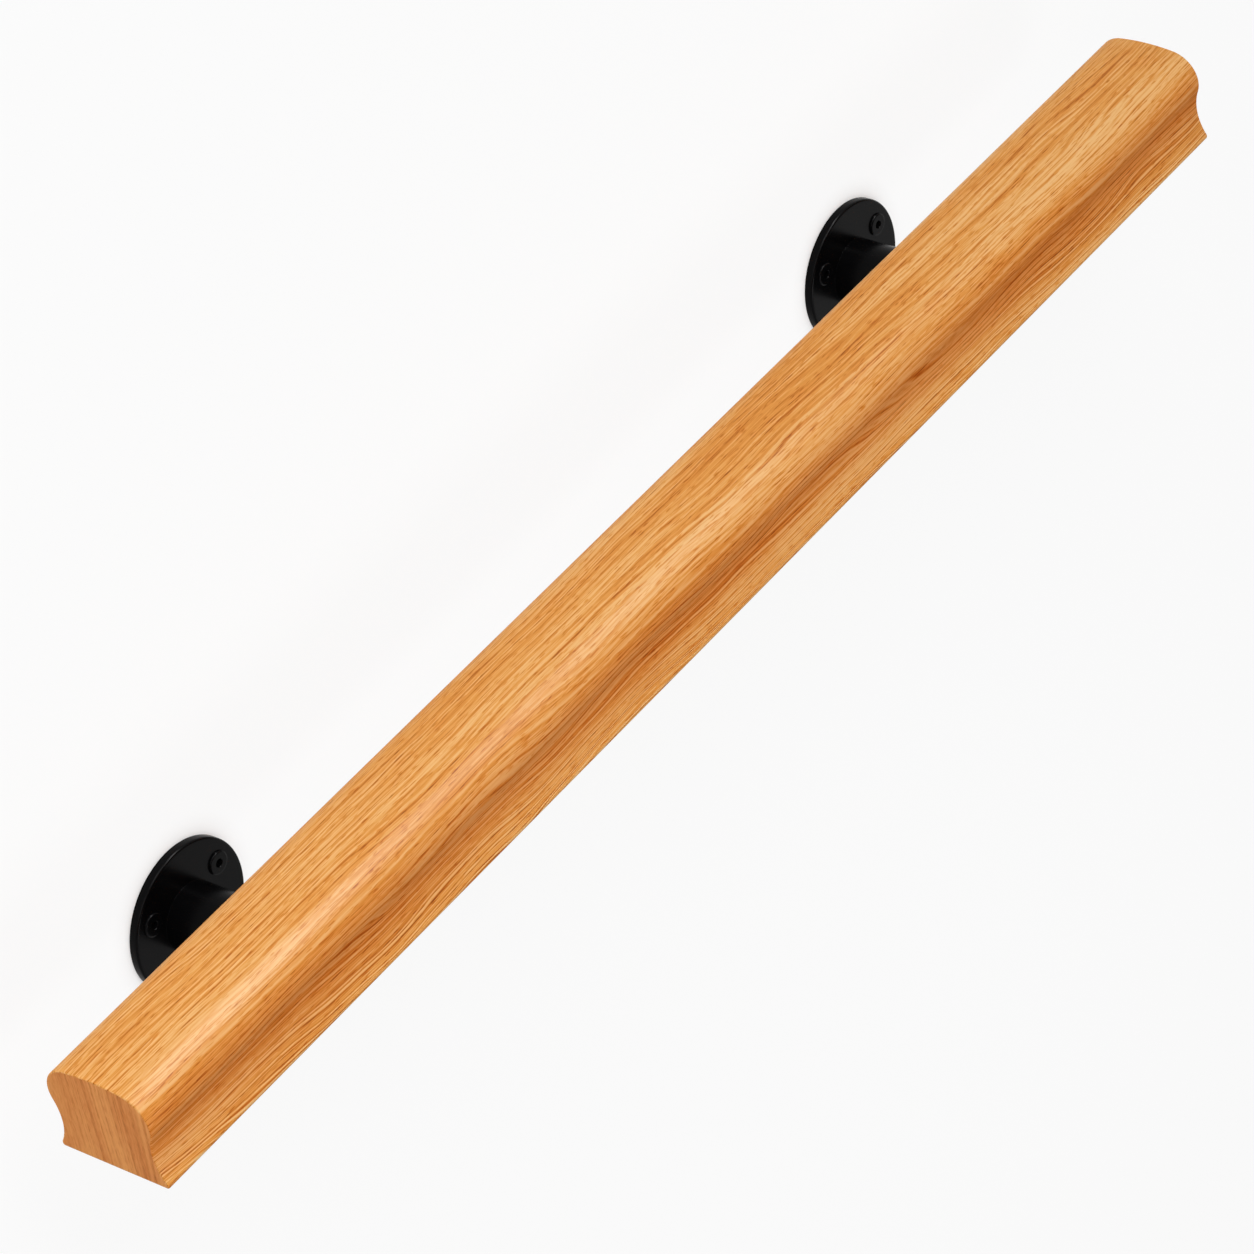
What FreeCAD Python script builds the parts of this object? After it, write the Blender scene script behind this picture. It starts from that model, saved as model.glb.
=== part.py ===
import FreeCAD
import Part
import Sketcher
import math
import os

# Wall-mounted stair handrail: a moulded oak rail carried by two round-plate brackets.
# Frame: the wall plates stand on the plane Z = 0 and Z runs out from the wall.
# X runs along the rail, with the near end at +X. The crown of the rail faces -Y and its flat base +Y.
# The origin is the middle of the whole part's box, on the wall plane.

# Driving sizes in millimetres: name, value, meaning.
SIZES = [
    ("rail_length", 914.4, "length of the rail, three feet"),
    ("base_width", 66.2, "width across the two base lips"),
    ("rail_height", 55.2, "flat base to the top of the crown"),
    ("base_round", 1.5, "rounding of the two base corners"),
    ("lip_flat", 1.0, "upright flat of the lip above the base corner"),
    ("cove_radius", 32.8, "hollow on each side that the fingers close round"),
    ("shoulder_width", 63.6, "width across the two shoulders"),
    ("shoulder_radius", 17.2, "round of each shoulder"),
    ("crown_radius", 122.7, "gentle curve over the top"),
    ("end_ease", 0.8, "eased edge round each sawn end"),
    ("wall_gap", 58.0, "finger room from the wall to the rail's base lip"),
    ("near_bracket_inset", 158.0, "near end of the rail to the near bracket's middle"),
    ("bracket_spacing", 580.0, "middle to middle of the two brackets"),
    ("plate_diameter", 80.0, "round wall plate"),
    ("plate_thickness", 5.0, "wall plate"),
    ("plate_bevel", 1.2, "bevel of the wall plate's front rim"),
    ("wall_hole_count", 3, "wall screws in each plate"),
    ("wall_hole_diameter", 4.5, "clearance for a wall screw"),
    ("boss_diameter", 12.8, "raised boss round each wall screw hole"),
    ("boss_height", 1.3, "boss above the plate's face"),
    ("boss_bevel", 0.9, "bevel of a boss's top edge"),
    ("wall_hole_margin", 11.0, "plate's rim to the middle of a wall screw"),
    ("neck_diameter", 37.0, "round bar of the arm, neck and tongue in one"),
    ("neck_length", 30.0, "wall to the start of the slope under the neck"),
    ("neck_flare", 0.8, "flare where the neck grows out of the plate"),
    ("axis_drop", 6.0, "rail's base down to the axis of the plate and neck"),
    ("slope_length", 26.0, "slope from the neck's underside to the tongue's"),
    ("tongue_thickness", 10.0, "milled seat to the tongue's underside"),
    ("tongue_bevel", 6.0, "bevel round the bar's free end"),
    ("tongue_margin", 12.0, "outer rail screw to the tongue's free end"),
    ("seat_clearance", 2.0, "room between the seat's step and the rail's back lip"),
    ("screw_pitch", 24.0, "middle to middle of a tongue's two rail screws"),
    ("screw_shank", 4.5, "rail screw's shank diameter"),
    ("screw_head", 9.0, "rail screw's countersunk head diameter"),
    ("screw_length", 32.0, "rail screw, head face to tip"),
    ("screw_point", 6.0, "tapered point of a rail screw"),
    ("screw_clearance", 0.1, "room round a rail screw's shank and beyond its tip"),
]

# Places worked out from the driving sizes, as expressions on the sheet.
HALF_BASE = "dims.base_width / 2"
LIP_HEIGHT = "dims.base_round + dims.lip_flat"
RAIL_MIDDLE_Z = "dims.wall_gap + dims.base_width / 2"
BASE_PLANE_Y = "(dims.rail_height - dims.plate_diameter / 2 - dims.axis_drop) / 2"
SEAT_START = "dims.wall_gap - dims.seat_clearance"
TONGUE_END = RAIL_MIDDLE_Z + " + dims.screw_pitch / 2 + dims.tongue_margin"
NEAR_X = "dims.rail_length / 2 - dims.near_bracket_inset"
BRACKET_X = {"near": NEAR_X, "far": NEAR_X + " - dims.bracket_spacing"}
SCREW_SIDE = {"inner": -1, "outer": 1}
HOLE_DIAMETER = "dims.screw_shank + 2 * dims.screw_clearance"
UNDERSIDE_Y = "dims.tongue_thickness - dims.axis_drop"
WALL_HOLE_Y = "dims.plate_diameter / 2 - dims.wall_hole_margin"
BOSS_TOP = "dims.plate_thickness + dims.boss_height"

QUARTER_TURN = FreeCAD.Rotation(FreeCAD.Vector(1, 0, 0), 90)
FLAT = FreeCAD.Vector(0, 0, 1)
HEAD_ANGLE = 90
NEARLY = 1e-4


def make_sheet(doc):
    """The spreadsheet of driving sizes, one aliased cell each."""
    sheet = doc.addObject("Spreadsheet::Sheet", "dims")
    for row, (name, value, meaning) in enumerate(SIZES, start=1):
        sheet.set(f"A{row}", meaning)
        sheet.set(f"B{row}", str(value))
        sheet.setAlias(f"B{row}", name)
    doc.recompute()
    return sheet


def origin_plane(body, role):
    """One of a body's own origin planes."""
    return next(item for item in body.Origin.OriginFeatures if item.Role == role)


def new_sketch(body, role, name):
    """An empty sketch on one of the body's origin planes."""
    sketch = body.newObject("Sketcher::SketchObject", name)
    sketch.AttachmentSupport = [(origin_plane(body, role), "")]
    sketch.MapMode = "FlatFace"
    return sketch


def bind_size(sketch, name, expression, *constraint):
    """Adds a dimension to a sketch, named and driven by an expression on the sheet."""
    index = sketch.addConstraint(Sketcher.Constraint(*constraint))
    sketch.renameConstraint(index, name)
    sketch.setExpression(f"Constraints.{name}", expression)


def add_circle(sketch, name, centre, radius, diameter, along_x, along_y):
    """A circle driven by three expressions: its diameter and its middle's two distances."""
    circle = sketch.addGeometry(Part.Circle(FreeCAD.Vector(*centre, 0), FLAT, radius), False)
    bind_size(sketch, f"{name}_diameter", diameter, "Diameter", circle, 2 * radius)
    for kind, expression, value in (("DistanceX", along_x, centre[0]), ("DistanceY", along_y, centre[1])):
        if expression is None:
            axis = -2 if kind == "DistanceX" else -1
            sketch.addConstraint(Sketcher.Constraint("PointOnObject", circle, 3, axis))
        else:
            bind_size(sketch, f"{name}_{kind}", expression, kind, -1, 1, circle, 3, value)


def extrude(body, kind, name, sketch, length, side="One side"):
    """A pad, or a pocket that cuts along the sketch's own normal, to a bound length."""
    feature = body.newObject(f"PartDesign::{kind}", name)
    feature.Profile = sketch
    feature.SideType = side
    feature.Reversed = kind == "Pocket"
    feature.setExpression("Length", length)
    sketch.Visibility = False
    body.Document.recompute()
    return feature


def bevel(body, name, size_expression, picked):
    """An even chamfer on those edges of the body so far that the test picks."""
    base = body.Tip
    edges = [f"Edge{number}" for number, edge in enumerate(base.Shape.Edges, start=1) if picked(edge)]
    feature = body.newObject("PartDesign::Chamfer", name)
    feature.Base = (base, edges)
    feature.setExpression("Size", size_expression)
    body.Document.recompute()
    return feature


def place(body, turn, x=None, y=None, z=None):
    """Puts a body where expressions on the sheet say."""
    body.Placement = FreeCAD.Placement(FreeCAD.Vector(), turn)
    for axis, expression in (("x", x), ("y", y), ("z", z)):
        if expression is not None:
            body.setExpression(f"Placement.Base.{axis}", expression)


def draw_rail_profile(sketch, dims):
    """Half of the rail's section: base, lip, cove, shoulder and crown, on the +Y side.

    The crown, shoulder and cove are tangent arcs. The cove starts at the lip's top corner, so its
    middle lies where a circle round that corner meets one round the shoulder's middle.
    """
    half = dims.base_width / 2
    corner = dims.base_round
    lip = corner + dims.lip_flat
    crown_z = dims.rail_height - dims.crown_radius
    shoulder_y = dims.shoulder_width / 2 - dims.shoulder_radius
    reach = dims.crown_radius - dims.shoulder_radius
    shoulder_z = crown_z + math.sqrt(reach ** 2 - shoulder_y ** 2)
    apart = math.hypot(half - shoulder_y, lip - shoulder_z)
    from_shoulder = dims.shoulder_radius + dims.cove_radius
    toward = (from_shoulder ** 2 - dims.cove_radius ** 2 + apart ** 2) / (2 * apart)
    aside = math.sqrt(from_shoulder ** 2 - toward ** 2)
    step = ((half - shoulder_y) / apart, (lip - shoulder_z) / apart)
    cove_y = shoulder_y + toward * step[0] - aside * step[1]
    cove_z = shoulder_z + toward * step[1] + aside * step[0]
    crown_join = math.atan2(shoulder_z - crown_z, shoulder_y)
    cove_join = math.atan2(cove_z - shoulder_z, cove_y - shoulder_y)
    lip_join = math.atan2(lip - cove_z, half - cove_y) + 2 * math.pi

    def line(y1, z1, y2, z2):
        return Part.LineSegment(FreeCAD.Vector(y1, z1, 0), FreeCAD.Vector(y2, z2, 0))

    def arc(y, z, radius, start, end):
        return Part.ArcOfCircle(Part.Circle(FreeCAD.Vector(y, z, 0), FLAT, radius), start, end)

    base, round_, upright, cove, shoulder, crown, axis = sketch.addGeometry([
        line(0, 0, half - corner, 0),
        arc(half - corner, corner, corner, -math.pi / 2, 0),
        line(half, corner, half, lip),
        arc(cove_y, cove_z, dims.cove_radius, cove_join + math.pi, lip_join),
        arc(shoulder_y, shoulder_z, dims.shoulder_radius, cove_join, crown_join),
        arc(0, crown_z, dims.crown_radius, crown_join, math.pi / 2),
        line(0, dims.rail_height, 0, 0),
    ], False)
    for rule in (
        ("Coincident", base, 1, -1, 1),
        ("Horizontal", base),
        ("Tangent", base, 2, round_, 1),
        ("Tangent", round_, 2, upright, 1),
        ("Vertical", upright),
        ("Coincident", upright, 2, cove, 2),
        ("Tangent", cove, 1, shoulder, 1),
        ("Tangent", shoulder, 2, crown, 1),
        ("Coincident", crown, 2, axis, 1),
        ("Coincident", axis, 2, -1, 1),
        ("Vertical", axis),
        ("PointOnObject", crown, 3, -2),
    ):
        sketch.addConstraint(Sketcher.Constraint(*rule))
    bind_size(sketch, "corner_radius", "dims.base_round", "Radius", round_, corner)
    bind_size(sketch, "cove_radius", "dims.cove_radius", "Radius", cove, dims.cove_radius)
    bind_size(sketch, "shoulder_radius", "dims.shoulder_radius", "Radius", shoulder, dims.shoulder_radius)
    bind_size(sketch, "crown_radius", "dims.crown_radius", "Radius", crown, dims.crown_radius)
    bind_size(sketch, "half_base", HALF_BASE, "DistanceX", -1, 1, upright, 2, half)
    bind_size(sketch, "lip_height", LIP_HEIGHT, "DistanceY", -1, 1, upright, 2, lip)
    bind_size(sketch, "height", "dims.rail_height", "DistanceY", -1, 1, crown, 2, dims.rail_height)
    bind_size(sketch, "shoulder_middle", "dims.shoulder_width / 2 - dims.shoulder_radius",
              "DistanceX", -1, 1, shoulder, 3, shoulder_y)


def make_handrail(doc, dims):
    """The moulded rail: its section run along X, ends eased, pilot holes bored up into the base."""
    body = doc.addObject("PartDesign::Body", "handrail")
    profile = new_sketch(body, "YZ_Plane", "rail_profile")
    draw_rail_profile(profile, dims)
    half = extrude(body, "Pad", "half_rail", profile, "dims.rail_length", "Symmetric")
    whole = body.newObject("PartDesign::Mirrored", "whole_rail")
    whole.Originals = [half]
    whole.MirrorPlane = (origin_plane(body, "XZ_Plane"), [""])
    body.Tip = whole
    doc.recompute()
    half_length = dims.rail_length / 2

    def on_an_end(edge):
        return all(abs(abs(v.X) - half_length) < NEARLY for v in edge.Vertexes)

    bevel(body, "eased_ends", "dims.end_ease", on_an_end)
    pilots = new_sketch(body, "XY_Plane", "pilot_holes")
    for end, bracket_x in BRACKET_X.items():
        for side, sign in SCREW_SIDE.items():
            inset = dims.near_bracket_inset + (dims.bracket_spacing if end == "far" else 0)
            centre = (half_length - inset, sign * dims.screw_pitch / 2)
            add_circle(pilots, f"{end}_{side}", centre, dims.screw_shank / 2, HOLE_DIAMETER,
                       bracket_x, f"{sign} * dims.screw_pitch / 2")
    extrude(body, "Pocket", "pilots", pilots,
            "dims.screw_length - dims.tongue_thickness + dims.screw_clearance")
    place(body, QUARTER_TURN, y=BASE_PLANE_Y, z=RAIL_MIDDLE_Z)
    return body


def draw_box(sketch, width, height, top, start):
    """A rectangle centred on the sketch's upright axis, from three expressions and their starting values."""
    half, tall, high = start
    corners = [(-half, high - tall), (half, high - tall), (half, high), (-half, high)]
    points = [FreeCAD.Vector(x, y, 0) for x, y in corners]
    sides = sketch.addGeometry([Part.LineSegment(points[i], points[(i + 1) % 4]) for i in range(4)], False)
    for i in range(4):
        sketch.addConstraint(Sketcher.Constraint("Coincident", sides[i], 2, sides[(i + 1) % 4], 1))
        sketch.addConstraint(Sketcher.Constraint("Horizontal" if i % 2 == 0 else "Vertical", sides[i]))
    bind_size(sketch, "half_width", f"({width}) / 2", "DistanceX", -1, 1, sides[0], 2, half)
    bind_size(sketch, "width", width, "DistanceX", sides[0], 1, sides[0], 2, 2 * half)
    bind_size(sketch, "height", height, "DistanceY", sides[1], 1, sides[1], 2, tall)
    bind_size(sketch, "top", top, "DistanceY", -1, 1, sides[2], 1, high)


def draw_under_cut(sketch, dims, clear):
    """The side outline of what is milled away under the tongue: a slope, then a flat to past the free end.

    The sketch's level axis is the neck's own Y, and its upright axis runs out from the wall.
    """
    radius = dims.neck_diameter / 2
    flat = dims.tongue_thickness - dims.axis_drop
    slope_end = dims.neck_length + dims.slope_length
    outline = [(radius, dims.neck_length), (flat, slope_end), (flat, clear), (2 * radius, clear),
               (2 * radius, dims.neck_length)]
    points = [FreeCAD.Vector(y, z, 0) for y, z in outline]
    count = len(points)
    slope, under, outer, side, inner = sketch.addGeometry(
        [Part.LineSegment(points[i], points[(i + 1) % count]) for i in range(count)], False)
    for first, second in ((slope, under), (under, outer), (outer, side), (side, inner), (inner, slope)):
        sketch.addConstraint(Sketcher.Constraint("Coincident", first, 2, second, 1))
    for kind, line in (("Vertical", under), ("Horizontal", outer), ("Vertical", side), ("Horizontal", inner)):
        sketch.addConstraint(Sketcher.Constraint(kind, line))
    bind_size(sketch, "slope_y", "dims.neck_diameter / 2", "DistanceX", -1, 1, slope, 1, radius)
    bind_size(sketch, "slope_z", "dims.neck_length", "DistanceY", -1, 1, slope, 1, dims.neck_length)
    bind_size(sketch, "slope", "dims.slope_length", "DistanceY", slope, 1, slope, 2, dims.slope_length)
    bind_size(sketch, "underside", UNDERSIDE_Y, "DistanceX", -1, 1, under, 1, flat)
    bind_size(sketch, "clear_end", f"{TONGUE_END} + dims.tongue_margin", "DistanceY", -1, 1, under, 2, clear)
    bind_size(sketch, "clear_side", "dims.neck_diameter", "DistanceX", -1, 1, side, 1, 2 * radius)


def sink_holes(body, name, mouths, diameter, sink_diameter):
    """Through holes at a sketch's circles, countersunk for flat screw heads."""
    body.Document.recompute()
    holes = body.newObject("PartDesign::Hole", name)
    holes.Profile = mouths
    holes.DepthType = "ThroughAll"
    holes.HoleCutType = "Countersink"
    holes.HoleCutCustomValues = True
    holes.HoleCutCountersinkAngle = HEAD_ANGLE
    holes.setExpression("Diameter", diameter)
    holes.setExpression("HoleCutDiameter", sink_diameter)
    return holes


def make_bracket(doc, dims, end):
    """One bracket: a round plate on the wall and a round bar that is the neck and the tongue under the rail.

    A raised boss stands round each of the plate's wall screw holes. Past the rail's back lip the bar is
    milled flat on top as the rail's seat, and it is sloped and milled thinner underneath. Its own frame has
    the bar's axis along Z and the seat facing -Y.
    """
    body = doc.addObject("PartDesign::Body", f"bracket_{end}")
    plate_radius = dims.plate_diameter / 2
    neck_radius = dims.neck_diameter / 2
    rail_middle = dims.wall_gap + dims.base_width / 2
    tongue_end = rail_middle + dims.screw_pitch / 2 + dims.tongue_margin

    disc = new_sketch(body, "XY_Plane", f"plate_outline_{end}")
    add_circle(disc, "plate", (0, 0), plate_radius, "dims.plate_diameter", None, None)
    extrude(body, "Pad", f"plate_{end}", disc, "dims.plate_thickness")
    bar = new_sketch(body, "XY_Plane", f"bar_outline_{end}")
    add_circle(bar, "neck", (0, 0), neck_radius, "dims.neck_diameter", None, None)
    extrude(body, "Pad", f"bar_{end}", bar, TONGUE_END)

    def ring_at(radius, height):
        def picked(edge):
            ring = isinstance(edge.Curve, Part.Circle) and abs(edge.Curve.Radius - radius) < NEARLY
            return ring and abs(edge.BoundBox.ZMin - height) < NEARLY
        return picked

    bevel(body, f"neck_root_{end}", "dims.neck_flare", ring_at(neck_radius, dims.plate_thickness))
    bevel(body, f"plate_rim_{end}", "dims.plate_bevel", ring_at(plate_radius, dims.plate_thickness))
    bevel(body, f"bar_end_{end}", "dims.tongue_bevel", ring_at(neck_radius, tongue_end))

    seat = new_sketch(body, "XY_Plane", f"seat_cut_{end}")
    seat.setExpression("AttachmentOffset.Base.z", SEAT_START)
    draw_box(seat, "2 * dims.neck_diameter", "dims.neck_diameter", "-dims.axis_drop",
             (dims.neck_diameter, dims.neck_diameter, -dims.axis_drop))
    extrude(body, "Pocket", f"seat_{end}", seat, f"{TONGUE_END} - ({SEAT_START}) + dims.tongue_margin")
    under = new_sketch(body, "YZ_Plane", f"under_cut_{end}")
    draw_under_cut(under, dims, tongue_end + dims.tongue_margin)
    extrude(body, "Pocket", f"underside_{end}", under, "2 * dims.neck_diameter", "Symmetric")

    mouths = new_sketch(body, "XZ_Plane", f"rail_screw_mouths_{end}")
    mouths.setExpression("AttachmentOffset.Base.z", f"-({UNDERSIDE_Y})")
    for side, sign in SCREW_SIDE.items():
        centre = (0, rail_middle + sign * dims.screw_pitch / 2)
        add_circle(mouths, side, centre, dims.screw_shank / 2, HOLE_DIAMETER,
                   None, f"{RAIL_MIDDLE_Z} + {sign} * dims.screw_pitch / 2")
    sink_holes(body, f"rail_screw_holes_{end}", mouths, HOLE_DIAMETER, "dims.screw_head").Reversed = True
    doc.recompute()

    boss_radius = dims.boss_diameter / 2
    boss_middle = (0, plate_radius - dims.wall_hole_margin)
    button = new_sketch(body, "XY_Plane", f"boss_outline_{end}")
    add_circle(button, "boss", boss_middle, boss_radius, "dims.boss_diameter", None, WALL_HOLE_Y)
    boss = extrude(body, "Pad", f"boss_{end}", button, BOSS_TOP)
    mouth = new_sketch(body, "XY_Plane", f"wall_hole_mouth_{end}")
    add_circle(mouth, "wall_hole", boss_middle, dims.wall_hole_diameter / 2, "dims.wall_hole_diameter",
               None, WALL_HOLE_Y)
    hole = extrude(body, "Pocket", f"wall_hole_{end}", mouth, f"{BOSS_TOP} + dims.boss_height")
    ring = body.newObject("PartDesign::PolarPattern", f"wall_holes_{end}")
    ring.Originals = [boss, hole]
    ring.Axis = (disc, ["N_Axis"])
    ring.Angle = 360
    ring.setExpression("Occurrences", "dims.wall_hole_count")
    body.Tip = ring
    doc.recompute()
    bevel(body, f"boss_rims_{end}", "dims.boss_bevel",
          ring_at(boss_radius, dims.plate_thickness + dims.boss_height))
    place(body, FreeCAD.Rotation(), x=BRACKET_X[end], y=f"{BASE_PLANE_Y} + dims.axis_drop")
    return body


def make_rail_screw(doc, dims, end, side):
    """A countersunk wood screw, flush under the tongue and pointing up into the rail."""
    body = doc.addObject("PartDesign::Body", f"rail_screw_{end}_{side}")
    half = new_sketch(body, "XZ_Plane", f"screw_section_{end}_{side}")
    head = dims.screw_head / 2
    shank = dims.screw_shank / 2
    outline = [(0, 0), (head, 0), (shank, head - shank), (shank, dims.screw_length - dims.screw_point),
               (0, dims.screw_length)]
    points = [FreeCAD.Vector(x, z, 0) for x, z in outline]
    count = len(points)
    face, cone, stem, point, axis = half.addGeometry(
        [Part.LineSegment(points[i], points[(i + 1) % count]) for i in range(count)], False)
    for first, second in ((face, cone), (cone, stem), (stem, point), (point, axis)):
        half.addConstraint(Sketcher.Constraint("Coincident", first, 2, second, 1))
    half.addConstraint(Sketcher.Constraint("Coincident", axis, 2, -1, 1))
    half.addConstraint(Sketcher.Constraint("Coincident", face, 1, -1, 1))
    half.addConstraint(Sketcher.Constraint("Horizontal", face))
    half.addConstraint(Sketcher.Constraint("Vertical", stem))
    half.addConstraint(Sketcher.Constraint("Vertical", axis))
    sink = "dims.screw_head / 2 - dims.screw_shank / 2"
    bind_size(half, "head", "dims.screw_head / 2", "DistanceX", -1, 1, face, 2, head)
    bind_size(half, "shank", "dims.screw_shank / 2", "DistanceX", -1, 1, stem, 1, shank)
    bind_size(half, "sink", sink, "DistanceY", -1, 1, stem, 1, head - shank)
    bind_size(half, "length", "dims.screw_length", "DistanceY", -1, 1, axis, 1, dims.screw_length)
    bind_size(half, "point", "dims.screw_point", "DistanceY", stem, 2, axis, 1, dims.screw_point)
    turned = body.newObject("PartDesign::Revolution", f"screw_{end}_{side}")
    turned.Profile = half
    turned.ReferenceAxis = (half, ["V_Axis"])
    turned.Angle = 360
    place(body, QUARTER_TURN, x=BRACKET_X[end], y=f"{BASE_PLANE_Y} + dims.tongue_thickness",
          z=f"{RAIL_MIDDLE_Z} + {SCREW_SIDE[side]} * dims.screw_pitch / 2")
    return body


def check_document(doc, bodies):
    """Stops if any object failed or any piece isn't one valid solid."""
    failed = [item.Name for item in doc.Objects if {"Invalid", "Error"} & set(item.State)]
    if failed:
        raise RuntimeError(f"failed objects: {failed}")
    for body in bodies:
        shape = body.Shape
        if shape.isNull() or not shape.isValid() or len(shape.Solids) != 1:
            raise RuntimeError(f"{body.Label} isn't one valid solid")


def main():
    doc = FreeCAD.newDocument("stair_handrail")
    dims = make_sheet(doc)
    bodies = [make_handrail(doc, dims)]
    for end in BRACKET_X:
        bodies.append(make_bracket(doc, dims, end))
        bodies += [make_rail_screw(doc, dims, end, side) for side in SCREW_SIDE]
    doc.recompute()
    check_document(doc, bodies)
    os.makedirs("parts", exist_ok=True)
    for body in bodies:
        body.Shape.exportStep(f"parts/{body.Label}.step")
        box = body.Shape.BoundBox
        print(f"{body.Label}: {body.Shape.Volume:.1f} mm3, X {box.XMin:.2f} to {box.XMax:.2f}, "
              f"Y {box.YMin:.2f} to {box.YMax:.2f}, Z {box.ZMin:.2f} to {box.ZMax:.2f}")


main()
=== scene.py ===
"""Looks of a stair handrail length: a moulded oak rail on two satin black wall brackets.

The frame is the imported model's. X runs along the rail with the near end at +X, the crown faces -Y, the flat
base faces +Y, and Z runs out from the wall plane, which the part stands on here as on a floor. Sizes are in
millimetres until a mesh or a lamp is made.
"""

import logging
import math
from collections.abc import Mapping
from dataclasses import asdict, dataclass, field
from enum import Enum

import bpy
import numpy as np
from mathutils import Matrix, Vector


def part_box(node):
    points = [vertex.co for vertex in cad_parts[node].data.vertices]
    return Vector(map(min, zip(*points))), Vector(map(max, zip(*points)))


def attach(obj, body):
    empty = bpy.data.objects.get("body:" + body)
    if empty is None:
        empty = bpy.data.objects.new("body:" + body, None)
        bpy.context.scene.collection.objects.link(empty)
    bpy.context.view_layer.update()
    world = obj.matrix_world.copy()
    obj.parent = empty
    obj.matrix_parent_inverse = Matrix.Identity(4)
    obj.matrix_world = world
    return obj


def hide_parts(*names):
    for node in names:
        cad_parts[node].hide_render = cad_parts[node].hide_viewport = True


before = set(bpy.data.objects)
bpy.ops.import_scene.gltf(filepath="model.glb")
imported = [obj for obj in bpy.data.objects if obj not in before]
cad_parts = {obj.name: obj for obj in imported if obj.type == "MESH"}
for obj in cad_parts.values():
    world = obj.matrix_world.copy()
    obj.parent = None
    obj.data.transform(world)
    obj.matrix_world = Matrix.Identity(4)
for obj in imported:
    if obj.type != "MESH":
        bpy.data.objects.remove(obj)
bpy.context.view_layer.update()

Tree = bpy.types.NodeTree
Socket = bpy.types.NodeSocket
Piece = bpy.types.Object
Material = bpy.types.Material
Point = tuple[float, float, float]
Stops = tuple[tuple[float, str], ...]

LOG = logging.getLogger("handrail")
MM = 0.001
BODY = "root"
SHARP_ANGLE = math.radians(35)
QUARTER = math.pi / 2
FULL_TURN = 2 * math.pi
# How far a cutter stands past a face that it goes through.
PAST_FACE = 1.0
# A limit so far outside the bar that it cuts nothing.
UNCUT = 1000.0
# Turns a shape made round +Z so that its axis runs along -Y, up into the rail's base.
INTO_THE_RAIL = np.array([[1.0, 0.0, 0.0], [0.0, 0.0, -1.0], [0.0, 1.0, 0.0]])


class End(Enum):
    """The end of the rail that a bracket stands near."""

    NEAR = "near"
    FAR = "far"


class Place(Enum):
    """Which of a tongue's two rail screws: the one beside the wall or the one further out."""

    INNER = "inner"
    OUTER = "outer"


class Work(Enum):
    """What is done to a piece with another shape."""

    JOIN = "UNION"
    CUT = "DIFFERENCE"


def linear(hex_colour: str) -> tuple[float, float, float, float]:
    """Turns an sRGB colour to linear light.

    Args:
        hex_colour: the colour as #rrggbb.

    Returns:
        Red, green, blue and an alpha of one.
    """
    srgb = np.array([int(hex_colour[i:i + 2], 16) for i in (1, 3, 5)]) / 255
    light = np.where(srgb <= 0.04045, srgb / 12.92, ((srgb + 0.055) / 1.055) ** 2.4)
    return (*light.tolist(), 1.0)


def add_node(tree: Tree, kind: str, inputs: Mapping[str | int, object] | None = None,
             **settings: object) -> bpy.types.Node:
    """Adds one node with its settings, links and input values.

    Args:
        tree: the node tree.
        kind: the node's type name.
        inputs: for each input's name or number, the socket that feeds it or a plain value.
        settings: the node's own properties.

    Returns:
        The new node.
    """
    node = tree.nodes.new(kind)
    for name, value in settings.items():
        setattr(node, name, value)
    for key, value in (inputs or {}).items():
        if isinstance(value, Socket):
            tree.links.new(value, node.inputs[key])
        else:
            node.inputs[key].default_value = value
    return node


def new_material(name: str) -> tuple[Material, Tree]:
    """Makes an empty node material.

    Args:
        name: the real material's name.

    Returns:
        The material and its emptied node tree.
    """
    material = bpy.data.materials.new(name)
    material.use_nodes = True
    material.node_tree.nodes.clear()
    return material, material.node_tree


def packed_box(node: str) -> tuple[np.ndarray, np.ndarray]:
    """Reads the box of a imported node.

    Args:
        node: the node's name.

    Returns:
        Its low and its high corner in millimetres.
    """
    low, high = (np.array(corner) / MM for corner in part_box(node))
    return low, high


def arc(centre: tuple[float, float], radius: float, start: float, end: float, count: int) -> np.ndarray:
    """Points at even angles on a circle: the middle plus the radius times cosine and sine.

    Args:
        centre: the circle's middle.
        radius: the circle's radius.
        start: first angle in radians.
        end: last angle in radians.
        count: number of points.

    Returns:
        The points, shaped (count, 2).
    """
    angle = np.linspace(start, end, count)
    return np.stack([centre[0] + radius * np.cos(angle), centre[1] + radius * np.sin(angle)], axis=-1)


def smooth_min(values: np.ndarray, limit: np.ndarray, softness: float) -> np.ndarray:
    """Keeps values below a limit with a rounded corner: the log of the two's added exponentials.

    Args:
        values: what is limited.
        limit: the upper limit.
        softness: how far from the limit the rounding is felt.

    Returns:
        The limited values.
    """
    return -softness * np.logaddexp(-values / softness, -limit / softness)


def ramp_up(values: np.ndarray, low: float, high: float) -> np.ndarray:
    """Rises smoothly from nought to one: three times the share squared less twice its cube.

    Args:
        values: where the ramp is read.
        low: the value up to which it is nought.
        high: the value from which it is one.

    Returns:
        The ramp at each value.
    """
    share = np.clip((values - low) / (high - low), 0, 1)
    return share * share * (3 - 2 * share)


def turned(profile: np.ndarray, columns: int) -> np.ndarray:
    """Carries a profile of radius and height round the Z axis.

    Args:
        profile: radius and height of each ring, shaped (rings, 2).
        columns: points round each ring.

    Returns:
        Rings of points, shaped (rings, columns, 3).
    """
    angle = np.linspace(0, FULL_TURN, columns, endpoint=False)
    radius, height = profile[:, 0, None], profile[:, 1, None]
    return np.stack([radius * np.cos(angle), radius * np.sin(angle), height + 0 * angle], axis=-1)


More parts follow.
